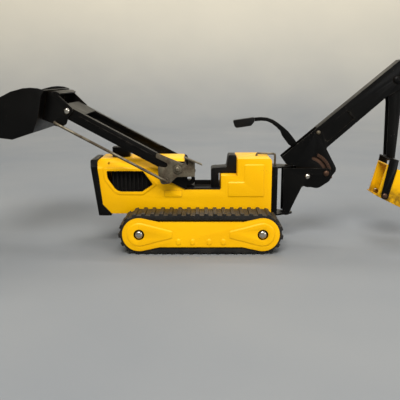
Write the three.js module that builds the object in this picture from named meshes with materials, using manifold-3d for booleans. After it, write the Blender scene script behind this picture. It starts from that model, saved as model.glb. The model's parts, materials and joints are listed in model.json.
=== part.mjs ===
// Pressed-steel toy backhoe loader on rubber crawler belts, built in millimetres with +Z up.
// The loader faces -X, the backhoe +X, and the ground is z = 0 under the belt lugs.
// A piece that is cut by or rests on a neighbour keeps a small gap to it.

import * as THREE from 'three';
import { mergeVertices } from 'three/addons/utils/BufferGeometryUtils.js';
import Module from 'manifold-3d';

const wasm = await Module();
wasm.setup();

// ---------------------------------------------------------------- driving dimensions

const SHEET = 1.4;                       // pressed steel thickness
const GAP = 0.3;                         // space kept between neighbouring pieces
const NEAR = -1;                         // the driver's left, at -Y, facing the loader
const FAR = 1;
const SIDES = [{ side: NEAR, name: 'left' }, { side: FAR, name: 'right' }];
const ROUND = 20;                        // sides of a small round piece
const ACROSS = [-50, 50];                // a cross hole's tool, wider than what it pierces
const FIT = 0.1;                         // how far a head stands off the sheet it holds

// crawler tracks
const AXLE_X = { front: -61.2, rear: 63 };
const AXLE_Z = 21;
const AXLE_R = 2.5;
const LUG_COUNT = 41;
const LUG_TIP_R = 21;
const BELT_R = 19.2;
const BELT_INNER_R = 14.4;
const BELT_Y = [31, 63.6];
const WHEEL_R = 14;
const WHEEL_Y = [35, 61.5];
const GUARD_Y = [64, 65.3];
const GUARD_END_R = 17;
const GUARD_HALF_HEIGHT = 12.9;
const GUARD_FLANGE_X = [-40.5, 42.3];
const GUARD_FLANGE_INNER_Y = 50;
const GUARD_NECK = 20.5;                 // where a guard's round end meets its straight bar
const GUARD_BUMPS = [-22.5, -8.3, 8.3, 22.5];
const DROP_R = 12.3;
const DROP_TIP = [34, 3.8];              // reach and half height of the drop's blunt tip
const CAP_R = 4.3;
const CAP_HOLE_R = 5.4;
const AXLE_END = 63.4;
const CAP_RIM_Y = 64.6;
const CAP_DOME = 2.6;

// body
const BODY_HALF = 28;
const HOOD_TOP = 92;
const BOX_TOP = 92.5;
const BODY_BOTTOM = 34.5;
const HOOD_FRONT_TOP_X = -107.9;
const HOOD_FRONT_LOW = [-102.3, 44.2];
const HOOD_CHIN = [-93.1, BODY_BOTTOM];
const COWL_X = -17;
const STEP_X = 22;
const STEP_TOP = 75;
const BOX_FRONT_X = 39;
const BOX_REAR_X = 75;
const SILL_TOP = 60;
const SHOULDER_HALF = 20;
const SHOULDER_LOW = 82.5;
const CHASSIS_TOP = 36;
const CHASSIS_FRONT_X = -72;
const SEAT_HALF = 11.5;
const SEAT_TOP = 94.5;
const AIR_CLEANER_Z = [HOOD_TOP + FIT, 102.4];
const EMBOSS = 0.8;                      // how far a pressed panel stands out
const EMBOSS_SLOPE = 1.3;                // how wide a pressed panel's sloped edge is
const GRILLE_Z = [32.2, 90.8];
const GRILLE_HALF = 27.6;
const GRILLE_BAR_PITCH = 6.6;
const GRILLE_SLOT_HALF = 2.1;
const ENGINE_RIB_PITCH = 4.4;

// loader
const ARM_PIVOT = [-23, 83.5];
const BUCKET_PIVOT = [-133.5, 142.5];
const ROD_REAR = [-35.35, 72];
const ROD_FRONT = [-145.85, 131];
const ARM_Y = [36.8, 38];
const ARM_FLANGE_INNER_Y = 29.6;
const ARM_BOTTOM_V = -7.4;
const ARM_TOP_V = 4.6;
const CROSS_PLATE_U = [109, 131];
const EAR_Y = [38.8, 40.4];
const LEVER_Y = [38.4, 39.7];
const ROD_Y = 43.6;
const ROD_R = 1.5;
const BUCKET_HALF = 58;

// backhoe
const SWING_X = 95;
const MOUNT_BOTTOM = 29;
const MOUNT_TOP = 82;
const MOUNT_HALF = 14;
const EAR_THICK = 1.6;
const EAR_END_R = 6.5;
const BOOM_PIVOT = [115.4, 71.4];
const STOP_RIVET = [135.6, 74.6];
const SLOT_R = Math.hypot(STOP_RIVET[0] - BOOM_PIVOT[0], STOP_RIVET[1] - BOOM_PIVOT[1]);
const SLOT_TRAVEL = THREE.MathUtils.degToRad(62);
const BRACKET_Y = [9.2, 10.4];
const BOOM_Y = [6.8, 8];
const LEVER_PIVOT = [125.9, 118.2];
const STICK_PIVOT = [206, 173];
const STICK_Y = [5.2, 6.4];
const ROD_LOW_END = [135.1, 107.7];
const ROD_HIGH_END = [200, 179.8];
const YOKE_RIVET_X = 204.9;
const YOKE_Y = [17.6, 18.8];
const KEEPER_HOLE_X = 61.2;
const KEEPER_END_X = 81.4;
const REAR_BUCKET_PIVOT = [197, 51.6];
const REAR_BUCKET_HALF = 17;
const MOUTH_LOW = [189.5, 51];
const MOUTH_HIGH = [198.5, 85.5];
const REAR_BUCKET_DEPTH = { low: 44, high: 39 };
const FLOOR_TILT = THREE.MathUtils.degToRad(-26);

// ---------------------------------------------------------------- finishes

const PAINTS = {
  yellow: { color: 0xf5b50a, roughness: 0.35, metalness: 0.1 },
  black: { color: 0x0e0e0f, roughness: 0.3, metalness: 0.1 },
  rubber: { color: 0x1a1a1b, roughness: 0.85, metalness: 0 },
  plastic: { color: 0x151516, roughness: 0.5, metalness: 0 },
  steel: { color: 0xa8a49c, roughness: 0.45, metalness: 0.9 },
  chrome: { color: 0xd9d9d6, roughness: 0.2, metalness: 1 },
  rust: { color: 0x7a5340, roughness: 0.7, metalness: 0.5 },
};

// ---------------------------------------------------------------- solid helpers

// A manifold solid from a three.js geometry, dropping triangles that have no area.
function solid(geometry) {
  const bare = geometry.clone();
  bare.deleteAttribute('normal');
  bare.deleteAttribute('uv');
  const merged = mergeVertices(bare, 1e-4);
  const index = merged.index.array;
  const kept = [];
  for (let i = 0; i < index.length; i += 3) {
    const [a, b, c] = [index[i], index[i + 1], index[i + 2]];
    if (a !== b && b !== c && c !== a) kept.push(a, b, c);
  }
  return new wasm.Manifold(new wasm.Mesh({
    numProp: 3,
    vertProperties: Float32Array.from(merged.attributes.position.array),
    triVerts: Uint32Array.from(kept),
  }));
}

const join = (...solids) => solids.reduce((sum, next) => sum.add(next));
const cut = (base, ...tools) => tools.reduce((rest, tool) => rest.subtract(tool), base);

// A flat shape in the X-Z plane, extruded between two Y values; holes are outlines too.
function plate(outline, yLow, yHigh, holes = []) {
  const shape = new THREE.Shape(outline.map(([x, z]) => new THREE.Vector2(x, z)));
  for (const hole of holes) {
    shape.holes.push(new THREE.Path(hole.map(([x, z]) => new THREE.Vector2(x, z))));
  }
  const geometry = new THREE.ExtrudeGeometry(shape, { depth: yHigh - yLow, bevelEnabled: false });
  geometry.rotateX(Math.PI / 2);
  geometry.translate(0, yHigh, 0);
  return solid(geometry);
}

// The same plate on one side of the object: the Y values are distances from the middle.
function sidePlate(side, outline, inner, outer, holes = []) {
  return side > 0 ? plate(outline, inner, outer, holes) : plate(outline, -outer, -inner, holes);
}

// A panel pressed out of a face at a distance from the middle, with edges that slope back to it.
function pressed(side, outline, face, rise = EMBOSS, slope = EMBOSS_SLOPE) {
  const buried = 0.1;
  const shape = new THREE.Shape(outline.map(([x, z]) => new THREE.Vector2(x, z)));
  const geometry = new THREE.ExtrudeGeometry(shape, {
    depth: buried, bevelThickness: rise, bevelSize: slope, bevelOffset: -slope, bevelSegments: 1,
  });
  geometry.rotateX(Math.PI / 2);
  geometry.translate(0, side > 0 ? face : buried - face, 0);
  return solid(geometry);
}

function box(x, y, z) {
  const geometry = new THREE.BoxGeometry(x[1] - x[0], y[1] - y[0], z[1] - z[0]);
  geometry.translate((x[0] + x[1]) / 2, (y[0] + y[1]) / 2, (z[0] + z[1]) / 2);
  return solid(geometry);
}

// A round bar across the object, between two Y values.
function crossBar([x, z], radius, yLow, yHigh, sides = ROUND) {
  const geometry = new THREE.CylinderGeometry(radius, radius, yHigh - yLow, sides);
  geometry.translate(x, (yLow + yHigh) / 2, z);
  return solid(geometry);
}

function sideBar(side, centre, radius, inner, outer, sides = ROUND) {
  const [low, high] = side > 0 ? [inner, outer] : [-outer, -inner];
  return crossBar(centre, radius, low, high, sides);
}

function upright([x, y], radius, zLow, zHigh, sides = ROUND) {
  const geometry = new THREE.CylinderGeometry(radius, radius, zHigh - zLow, sides);
  geometry.rotateX(Math.PI / 2);
  geometry.translate(x, y, (zLow + zHigh) / 2);
  return solid(geometry);
}

// A piece turned about a cross axis; the profile is [radius, distance from the middle].
function turnedOnSide(side, [x, z], profile, sides = ROUND) {
  const points = profile.map(([radius, y]) => new THREE.Vector2(radius, y));
  const geometry = new THREE.LatheGeometry(points, sides);
  if (side < 0) geometry.rotateX(Math.PI);
  geometry.translate(x, 0, z);
  return solid(geometry);
}

// A piece turned about an upright axis; the profile is [radius, height].
function turnedUpright([x, y], profile, sides = ROUND) {
  const points = profile.map(([radius, z]) => new THREE.Vector2(radius, z));
  const geometry = new THREE.LatheGeometry(points, sides);
  geometry.rotateX(Math.PI / 2);
  geometry.translate(x, y, 0);
  return solid(geometry);
}

// A flat shape seen from above, raised between two heights.
function slab(outline, zLow, zHigh) {
  const shape = new THREE.Shape(outline.map(([x, y]) => new THREE.Vector2(x, y)));
  const geometry = new THREE.ExtrudeGeometry(shape, { depth: zHigh - zLow, bevelEnabled: false });
  geometry.translate(0, 0, zLow);
  return solid(geometry);
}

// A round wire that follows straight runs with bends of one radius.
function wire(points, radius, bend, sides = 10) {
  const corners = points.map((p) => new THREE.Vector3(...p));
  const path = new THREE.CurvePath();
  let from = corners[0];
  for (let i = 1; i < corners.length - 1; i += 1) {
    const before = corners[i].clone().add(corners[i - 1].clone().sub(corners[i]).setLength(bend));
    const after = corners[i].clone().add(corners[i + 1].clone().sub(corners[i]).setLength(bend));
    path.add(new THREE.LineCurve3(from, before));
    path.add(new THREE.QuadraticBezierCurve3(before, corners[i], after));
    from = after;
  }
  path.add(new THREE.LineCurve3(from, corners[corners.length - 1]));
  const ring = new THREE.Shape();
  ring.absarc(0, 0, radius, 0, 2 * Math.PI);
  const steps = 8 * corners.length;
  return solid(new THREE.ExtrudeGeometry(ring, { steps, extrudePath: path, curveSegments: sides / 2 }));
}

// ---------------------------------------------------------------- outline helpers

function arc([x, z], radius, start, end, steps = 8) {
  return Array.from({ length: steps + 1 }, (_, i) => {
    const angle = start + ((end - start) * i) / steps;
    return [x + radius * Math.cos(angle), z + radius * Math.sin(angle)];
  });
}

// Corners given as [x, z, radius] are rounded with that radius.
function rounded(corners, steps = 4) {
  const outline = [];
  corners.forEach(([x, z, radius = 0], i) => {
    if (!radius) {
      outline.push([x, z]);
      return;
    }
    const corner = new THREE.Vector2(x, z);
    const toward = (other) => new THREE.Vector2(other[0] - x, other[1] - z).normalize();
    const back = toward(corners[(i + corners.length - 1) % corners.length]);
    const ahead = toward(corners[(i + 1) % corners.length]);
    const half = Math.acos(THREE.MathUtils.clamp(back.dot(ahead), -1, 1)) / 2;
    const reach = radius / Math.tan(half);
    const centre = back.clone().add(ahead).setLength(radius / Math.sin(half)).add(corner);
    const first = corner.clone().addScaledVector(back, reach).sub(centre).angle();
    const last = corner.clone().addScaledVector(ahead, reach).sub(centre).angle();
    let sweep = last - first;
    if (sweep > Math.PI) sweep -= 2 * Math.PI;
    if (sweep < -Math.PI) sweep += 2 * Math.PI;
    outline.push(...arc([centre.x, centre.y], radius, first, first + sweep, steps));
  });
  return outline;
}

// Places (along, above) points on the line from one pivot toward another.
function frameAlong(from, to) {
  const length = Math.hypot(to[0] - from[0], to[1] - from[1]);
  const [dx, dz] = [(to[0] - from[0]) / length, (to[1] - from[1]) / length];
  const upSign = dx < 0 ? -1 : 1;
  return {
    length,
    at: (u, v, r) => [from[0] + u * dx - v * dz * upSign, from[1] + u * dz + v * dx * upSign, r],
  };
}

// The outline of a strip of varying width along a run of [x, z, width] points.
function ribbon(points) {
  const left = [];
  const right = [];
  points.forEach(([x, z, width], i) => {
    const before = points[Math.max(i - 1, 0)];
    const after = points[Math.min(i + 1, points.length - 1)];
    const [dx, dz] = [after[0] - before[0], after[1] - before[1]];
    const scale = width / 2 / Math.hypot(dx, dz);
    left.push([x - dz * scale, z + dx * scale]);
    right.unshift([x + dz * scale, z - dx * scale]);
  });
  return [...left, ...right];
}

// ---------------------------------------------------------------- naming

const group = new THREE.Group();
group.name = 'toy_backhoe_loader';

function addPiece(name, shape, paintName) {
  const mesh = shape.getMesh();
  const geometry = new THREE.BufferGeometry();
  geometry.setAttribute('position', new THREE.BufferAttribute(mesh.vertProperties, 3));
  geometry.setIndex(new THREE.BufferAttribute(mesh.triVerts, 1));
  geometry.computeVertexNormals();
  const piece = new THREE.Mesh(geometry, new THREE.MeshStandardMaterial(PAINTS[paintName]));
  piece.name = name;
  group.add(piece);
}

// ---------------------------------------------------------------- crawler tracks

// A point on the belt loop, a distance along it at the belt's surface and at some radius.
function loopPoint(distance, radius) {
  const straight = AXLE_X.rear - AXLE_X.front;
  const bend = Math.PI * BELT_R;
  const along = distance % (2 * (straight + bend));
  if (along < straight) return [AXLE_X.front + along, AXLE_Z + radius];
  if (along < straight + bend) {
    const angle = Math.PI / 2 - (along - straight) / BELT_R;
    return [AXLE_X.rear + radius * Math.cos(angle), AXLE_Z + radius * Math.sin(angle)];
  }
  if (along < 2 * straight + bend) {
    return [AXLE_X.rear - (along - straight - bend), AXLE_Z - radius];
  }
  const angle = -Math.PI / 2 - (along - 2 * straight - bend) / BELT_R;
  return [AXLE_X.front + radius * Math.cos(angle), AXLE_Z + radius * Math.sin(angle)];
}

function beltLoop() {
  const perimeter = 2 * (AXLE_X.rear - AXLE_X.front + Math.PI * BELT_R);
  const pitch = perimeter / LUG_COUNT;
  const outline = [];
  for (let i = 0; i < LUG_COUNT; i += 1) {
    const start = (i + 0.25) * pitch;
    outline.push(loopPoint(start, BELT_R));
    outline.push(loopPoint(start + 0.06 * pitch, LUG_TIP_R));
    outline.push(loopPoint(start + 0.44 * pitch, LUG_TIP_R));
    outline.push(loopPoint(start + 0.5 * pitch, BELT_R));
    outline.push(loopPoint(start + 0.75 * pitch, BELT_R));
  }
  return outline;
}

function beltInside() {
  const front = arc([AXLE_X.front, AXLE_Z], BELT_INNER_R, Math.PI / 2, 1.5 * Math.PI, 14);
  const rear = arc([AXLE_X.rear, AXLE_Z], BELT_INNER_R, -Math.PI / 2, Math.PI / 2, 14);
  return [...front, ...rear];
}

function trackBelt(side) {
  return sidePlate(side, beltLoop(), BELT_Y[0], BELT_Y[1], [beltInside()]);
}

// The angle at which a line from a point ahead of a circle's centre touches the circle.
function touchAngle(radius, [reach, height]) {
  return Math.atan2(height, reach) + Math.acos(radius / Math.hypot(reach, height));
}

// A drop shape on the guard: round at the axle, drawn out to a blunt tip toward the middle.
function teardrop(axleX) {
  const [reach, height] = DROP_TIP;
  const touch = touchAngle(DROP_R, DROP_TIP);
  const forward = [
    ...arc([0, 0], DROP_R, touch, 2 * Math.PI - touch, 14),
    ...rounded([[0, -DROP_R], [reach, -height, 2], [reach, height, 2], [0, DROP_R]]).slice(1, -1),
  ];
  return axleX < 0
    ? forward.map(([x, z]) => [axleX + x, AXLE_Z + z])
    : forward.map(([x, z]) => [axleX - x, AXLE_Z - z]);
}

function guardOutline() {
  const touch = touchAngle(GUARD_END_R, [GUARD_NECK, GUARD_HALF_HEIGHT]);
  const neckFront = AXLE_X.front + GUARD_NECK;
  const neckRear = AXLE_X.rear - GUARD_NECK;
  const [low, high] = [AXLE_Z - GUARD_HALF_HEIGHT, AXLE_Z + GUARD_HALF_HEIGHT];
  return [
    ...arc([AXLE_X.front, AXLE_Z], GUARD_END_R, touch, 2 * Math.PI - touch, 20),
    [neckFront, low], [neckRear, low],
    ...arc([AXLE_X.rear, AXLE_Z], GUARD_END_R, touch - Math.PI, Math.PI - touch, 20),
    [neckRear, high], [neckFront, high],
  ];
}

function trackGuard(side) {
  const [inner, outer] = GUARD_Y;
  const middleX = (AXLE_X.front + AXLE_X.rear) / 2;
  let guard = sidePlate(side, guardOutline(), inner, outer);
  for (const axleX of [AXLE_X.front, AXLE_X.rear]) {
    guard = guard.add(pressed(side, teardrop(axleX), outer));
  }
  for (const offset of GUARD_BUMPS) {
    const bump = rounded([[-2.7, 9.9, 2.5], [2.7, 9.9, 2.5], [2.7, 16.9, 2.5], [-2.7, 16.9, 2.5]]);
    const placed = bump.map(([x, z]) => [x + middleX + offset, z]);
    guard = guard.add(pressed(side, placed, outer));
  }
  for (const level of [1, -1]) {
    const edge = AXLE_Z + level * GUARD_HALF_HEIGHT;
    const [low, high] = level > 0 ? [edge - 1, edge] : [edge, edge + 1];
    const [near, far] = side > 0
      ? [GUARD_FLANGE_INNER_Y, inner + 0.5] : [-inner - 0.5, -GUARD_FLANGE_INNER_Y];
    guard = guard.add(box(GUARD_FLANGE_X, [near, far], [low, high]));
  }
  for (const axleX of [AXLE_X.front, AXLE_X.rear]) {
    guard = guard.subtract(sideBar(side, [axleX, AXLE_Z], CAP_HOLE_R, inner - 1, outer + 2, 24));
  }
  return guard;
}

function buildTracks() {
  for (const { side, name } of SIDES) {
    addPiece(`track_belt_${name}`, trackBelt(side), 'rubber');
    addPiece(`track_guard_${name}`, trackGuard(side), 'yellow');
  }
}

function buildAxle(place) {
  const centre = [AXLE_X[place], AXLE_Z];
  addPiece(`${place}_axle`, crossBar(centre, AXLE_R, -AXLE_END, AXLE_END), 'steel');
  for (const { side, name } of SIDES) {
    const [inner, outer] = WHEEL_Y;
    const bore = AXLE_R + 0.1;
    const wheel = turnedOnSide(side, centre, [
      [bore, inner], [WHEEL_R, inner], [WHEEL_R, inner + 7], [WHEEL_R - 4, inner + 9],
      [WHEEL_R - 4, outer - 9], [WHEEL_R, outer - 7], [WHEEL_R, outer], [bore, outer], [bore, inner],
    ], 28);
    addPiece(`${place}_wheel_${name}`, wheel, 'plastic');
    const quarter = arc([0, 0], 1, 0, Math.PI / 2, 4).slice(1, -1);
    const dome = quarter.map(([x, y]) => [x * CAP_R, CAP_RIM_Y + y * CAP_DOME]);
    const cap = turnedOnSide(side, centre, [
      [0, AXLE_END + FIT], [CAP_R - 1.2, AXLE_END + FIT], [CAP_R, CAP_RIM_Y], ...dome,
      [0, CAP_RIM_Y + CAP_DOME],
    ]);
    addPiece(`${place}_axle_cap_${name}`, cap, 'chrome');
  }
}

// ---------------------------------------------------------------- body

// The wedge between a hood corner and its sloping shoulder, inset by some thickness.
function shoulderWedge(side, inset) {
  const halfTop = SHOULDER_HALF - inset * 0.4;
  const low = SHOULDER_LOW - inset * 0.5;
  const shape = new THREE.Shape([
    new THREE.Vector2(side * halfTop, HOOD_TOP - inset + 0.01),
    new THREE.Vector2(side * (BODY_HALF - inset + 0.01), low),
    new THREE.Vector2(side * (BODY_HALF + 5), low),
    new THREE.Vector2(side * (BODY_HALF + 5), HOOD_TOP + 5),
    new THREE.Vector2(side * halfTop, HOOD_TOP + 5),
  ]);
  const length = COWL_X - HOOD_FRONT_TOP_X + 12 - inset;
  const geometry = new THREE.ExtrudeGeometry(shape, { depth: length, bevelEnabled: false });
  geometry.rotateX(Math.PI / 2);
  geometry.rotateZ(Math.PI / 2);
  geometry.translate(COWL_X - inset - length, 0, 0);
  return solid(geometry);
}

function bodyOutside() {
  const profile = rounded([
    [HOOD_FRONT_TOP_X, HOOD_TOP, 4], HOOD_FRONT_LOW, HOOD_CHIN, [BOX_REAR_X, BODY_BOTTOM],
    [BOX_REAR_X, BOX_TOP, 2.5], [BOX_FRONT_X, BOX_TOP, 1.5], [BOX_FRONT_X, STEP_TOP],
    [STEP_X, STEP_TOP, 1], [STEP_X, SILL_TOP, 2], [COWL_X, SILL_TOP, 2], [COWL_X, HOOD_TOP, 1.5],
  ]);
  return cut(plate(profile, -BODY_HALF, BODY_HALF), shoulderWedge(NEAR, 0), shoulderWedge(FAR, 0));
}

function bodyHollow() {
  const half = BODY_HALF - SHEET;
  const y = [-half, half];
  const hood = cut(
    box([-130, COWL_X - SHEET], y, [50, HOOD_TOP - SHEET]),
    shoulderWedge(NEAR, SHEET),
    shoulderWedge(FAR, SHEET),
  );
  const cab = box([COWL_X, STEP_X], y, [50, 120]);
  const step = box([STEP_X + SHEET, BOX_REAR_X - SHEET], y, [50, STEP_TOP - SHEET]);
  const rearBox = box([BOX_FRONT_X + SHEET, BOX_REAR_X - SHEET], y, [50, BOX_TOP - SHEET]);
  const passage = box([-130, BOX_REAR_X - SHEET], y, [20, 51]);
  return join(hood, cab, step, rearBox, passage);
}

const WINDOW = [[-97.5, 79.9, 1.5], [-96.6, 72, 8], [-87, 57.9, 10], [-60.9, 57.9, 2], [-49.2, 65.7, 1.5],
  [-59.4, 79.9, 2]];
const WINDOW_RIM = [[-102, 84, 3], [-100.6, 70.5, 10], [-88.5, 54, 13], [-59.6, 54, 3], [-44, 65.4, 3],
  [-57.2, 84, 3]];
const BOX_PANEL = [[29, 52, 2], [67.5, 52, 2], [67.5, 87, 2], [46, 87, 2], [46, 68.5, 1], [29, 68.5, 2]];
const BLANK_PLAQUE = [[-37, 52.5, 1], [-19, 52.5, 1], [-19, 59.5, 1], [-37, 59.5, 1]];
const HOOD_HOLES_X = -95.5;

function bodyShell() {
  let shell = cut(bodyOutside(), bodyHollow());
  const raised = BODY_HALF + EMBOSS;
  for (const { side } of SIDES) {
    shell = join(
      shell,
      pressed(side, rounded(WINDOW_RIM), BODY_HALF),
      pressed(side, rounded(BOX_PANEL), BODY_HALF),
      sidePlate(side, rounded(BLANK_PLAQUE), BODY_HALF - 1, raised - 0.2),
    );
    shell = shell.subtract(sidePlate(side, rounded(WINDOW), BODY_HALF - 3, BODY_HALF + 3));
    shell = shell.subtract(upright([HOOD_HOLES_X, side * 23.5], 1.1, 80, 100, 12));
  }
  return shell.subtract(upright([KEEPER_HOLE_X, 0], 1.6, 85, 100, 12));
}

function frontGrille() {
  const clear = 0.4;
  const profile = rounded([
    [HOOD_FRONT_TOP_X - clear, GRILLE_Z[1], 0.6], [HOOD_FRONT_LOW[0] - clear, HOOD_FRONT_LOW[1], 0],
    [HOOD_CHIN[0] - clear, BODY_BOTTOM - clear, 0], [HOOD_CHIN[0] - clear, GRILLE_Z[0], 0.6],
    [-106.8, GRILLE_Z[0], 1], [-115, GRILLE_Z[1], 1],
  ], 3);
  const frame = plate(profile, -GRILLE_HALF, GRILLE_HALF);
  let grille = cut(frame, shoulderWedge(NEAR, -0.6), shoulderWedge(FAR, -0.6));
  for (let i = -3; i <= 3; i += 1) {
    const middle = i * GRILLE_BAR_PITCH;
    const slotY = [middle - GRILLE_SLOT_HALF, middle + GRILLE_SLOT_HALF];
    grille = grille.subtract(box([-120, -100], slotY, [48, 84]));
  }
  return grille;
}

function radiatorScreen() {
  const slope = (HOOD_FRONT_TOP_X - HOOD_FRONT_LOW[0]) / (HOOD_TOP - HOOD_FRONT_LOW[1]);
  const lean = (z) => HOOD_FRONT_LOW[0] + slope * (z - HOOD_FRONT_LOW[1]);
  const outline = [[lean(45) + 0.6, 45], [lean(45) + 1.8, 45], [lean(84) + 1.8, 84], [lean(84) + 0.6, 84]];
  return plate(outline, -24, 24);
}

function engineBlock() {
  let block = box([-93, -50], [-21, 21], [CHASSIS_TOP + GAP, 83]);
  for (let i = 0; i < 9; i += 1) {
    const x = -90.6 + i * ENGINE_RIB_PITCH;
    for (const { side } of SIDES) {
      const y = side > 0 ? [18.6, 22] : [-22, -18.6];
      block = block.subtract(box([x, x + 2], y, [50, 84]));
    }
  }
  return block;
}

function airCleaner() {
  return slab(rounded([[-94, -8, 3], [-75, -8, 3], [-75, 8, 3], [-94, 8, 3]]), ...AIR_CLEANER_Z);
}

const LINER_WALL = 1.2;
const LINER_X = [COWL_X + 0.4, STEP_X - 0.4];
const LINER_HALF = BODY_HALF - SHEET - GAP;
const LINER_FLOOR = 56;
const LINER_TOP = 61.6;

function cabLiner() {
  const outside = box(LINER_X, [-LINER_HALF, LINER_HALF], [CHASSIS_TOP + GAP, LINER_TOP]);
  const half = LINER_HALF - LINER_WALL;
  const x = [LINER_X[0] + LINER_WALL, LINER_X[1] - LINER_WALL];
  const above = box(x, [-half, half], [LINER_FLOOR, 90]);
  const below = box(x, [-half, half], [30, LINER_FLOOR - LINER_WALL]);
  return cut(outside, above, below);
}

function dashConsole() {
  const back = LINER_X[0] + LINER_WALL + GAP;
  const outline = rounded([
    [back, LINER_FLOOR + 0.1], [-6.5, LINER_FLOOR + 0.1], [-6, 62, 1], [-10, 64.4, 2], [back, 64.4, 1],
  ]);
  return plate(outline, -17, 17);
}

function seat() {
  const skirtBack = LINER_X[1] - LINER_WALL - GAP;
  const outline = rounded([
    [12, LINER_FLOOR + 0.2, 1], [skirtBack, LINER_FLOOR + 0.2], [skirtBack, STEP_TOP + GAP],
    [BOX_FRONT_X - GAP, STEP_TOP + GAP], [BOX_FRONT_X - GAP, SEAT_TOP, 2], [30.5, SEAT_TOP, 2],
    [28.5, 81.6, 1.5], [12, 80.6, 2.5],
  ]);
  return plate(outline, -SEAT_HALF, SEAT_HALF);
}

// A long channel open below, between the tracks; both axles turn in its walls.
function chassisFrame() {
  const half = BODY_HALF - SHEET - GAP;
  const x = [CHASSIS_FRONT_X, BOX_REAR_X - SHEET - GAP];
  let frame = cut(
    box(x, [-half, half], [12, CHASSIS_TOP]),
    box([x[0] + SHEET, x[1] - SHEET], [-half + SHEET, half - SHEET], [0, CHASSIS_TOP - SHEET]),
  );
  for (const axleX of [AXLE_X.front, AXLE_X.rear]) {
    frame = frame.subtract(crossBar([axleX, AXLE_Z], AXLE_R + 0.3, ...ACROSS));
  }
  return frame;
}

function buildBody() {
  addPiece('body_shell', bodyShell(), 'yellow');
  addPiece('front_grille', frontGrille(), 'black');
  addPiece('radiator_screen', radiatorScreen(), 'black');
  addPiece('engine_block', engineBlock(), 'plastic');
  addPiece('air_cleaner', airCleaner(), 'black');
  addPiece('cab_liner', cabLiner(), 'black');
  addPiece('dash_console', dashConsole(), 'plastic');
  addPiece('seat', seat(), 'plastic');
  addPiece('chassis_frame', chassisFrame(), 'black');
}

// ---------------------------------------------------------------- loader

const HOOK_HOLE = [-11, 73];

function loaderBracket(side) {
  const outline = rounded([
    [-37, 80, 2], [-31, 68.6, 3], [-15.4, 61, 1.5], [-13.4, 66, 1], [-6.4, 66.6, 3], [-4.6, 73, 4],
    [-10, 79, 3],
    [-15, 90, 2], [-32, 90.6, 3],
  ]);
  const inner = BODY_HALF + GAP;
  let bracket = sidePlate(side, outline, inner, inner + 1.6);
  bracket = bracket.add(sideBar(side, HOOK_HOLE, 5.2, inner, inner + 3));
  bracket = bracket.add(sideBar(side, ARM_PIVOT, 5.5, inner, ARM_Y[0] - GAP));
  bracket = bracket.subtract(sideBar(side, HOOK_HOLE, 2.2, inner - 1, inner + 5, 12));
  return bracket.subtract(sideBar(side, ARM_PIVOT, 2.3, inner - 1, 50));
}

// The head stands off the arm by what lies between: the tilt lever is on the near side only.
function loaderBolt(side) {
  const seatY = (side === NEAR ? LEVER_Y[1] : ARM_Y[1]) + GAP;
  return join(
    sideBar(side, ARM_PIVOT, 2.2, BODY_HALF + 0.6, seatY + 1),
    sideBar(side, ARM_PIVOT, 4.8, seatY, seatY + 1.4, 6),
    turnedOnSide(side, ARM_PIVOT, [
      [0, seatY], [2.6, seatY], [2.6, seatY + 2.2], [1.6, seatY + 3], [0, seatY + 3],
    ]),
  );
}

const armLine = frameAlong(ARM_PIVOT, BUCKET_PIVOT);

function armOutline() {
  const { length, at } = armLine;
  return rounded([
    at(-6, ARM_TOP_V, 4), at(-6.5, ARM_BOTTOM_V + 2, 5), at(8, ARM_BOTTOM_V, 3),
    at(length + 2, ARM_BOTTOM_V, 5), at(length + 7, ARM_BOTTOM_V + 4, 3), at(length + 7, ARM_TOP_V, 1),
  ]);
}

// A bar given by its run along the arm line and its height above it.
function armBar(u, v, yLow, yHigh) {
  const { at } = armLine;
  return plate([at(u[0], v[0]), at(u[1], v[0]), at(u[1], v[1]), at(u[0], v[1])], yLow, yHigh);
}

function loaderArms() {
  const { length, at } = armLine;
  const flange = [ARM_TOP_V - 1.3, ARM_TOP_V];
  const bead = [at(29, -0.6, 0.5), at(112, -0.6, 0.5), at(112, 0.8, 0.5), at(29, 0.8, 0.5)];
  let arms = armBar(CROSS_PLATE_U, flange, -ARM_Y[1], ARM_Y[1]);
  for (const { side } of SIDES) {
    const flangeY = side > 0 ? [ARM_FLANGE_INNER_Y, ARM_Y[1]] : [-ARM_Y[1], -ARM_FLANGE_INNER_Y];
    arms = join(
      arms,
      sidePlate(side, armOutline(), ARM_Y[0], ARM_Y[1]),
      armBar([26, length], flange, ...flangeY),
      sidePlate(side, rounded(bead), ARM_Y[1] - 0.4, ARM_Y[1] + 0.6),
    );
  }
  for (const hole of [ARM_PIVOT, BUCKET_PIVOT]) {
    arms = arms.subtract(crossBar(hole, 2.5, ...ACROSS));
  }
  return arms;
}

function tiltLever() {
  const [inner, outer] = LEVER_Y;
  const outline = rounded([
    [-44.5, 100.6, 1.5], [-45, 95.4, 1], [-33, 89.4, 3], [-33.2, 84.6, 3], [-43, 86.5, 1], [-42.5, 75, 3],
    [-39.5, 67.6, 3], [-31, 68.6, 3], [-24, 75.4, 3], [-5.2, 75.8, 1], [-5.2, 92, 0], [-15.6, 96.5, 0],
    [-15.6, 90.4, 0], [-17.8, 89.4, 1],
  ]);
  const slot = rounded([[-14.4, 87.8, 1], [-12, 87.8, 1], [-12, 94, 1], [-14.4, 94, 1]]);
  const blade = sidePlate(NEAR, outline, inner, outer);
  const lip = plate([[-16.4, 96.9], [-15.9, 95.6], [2.2, 87.9], [2.2, 89.2]], -outer - 5.5, -inner);
  return cut(
    join(blade, lip),
    sidePlate(NEAR, slot, inner - 1, outer + 1),
    sideBar(NEAR, ARM_PIVOT, 2.5, 30, 50),
    sideBar(NEAR, ROD_REAR, ROD_R + 0.25, 30, 50, 12),
  );
}

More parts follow.
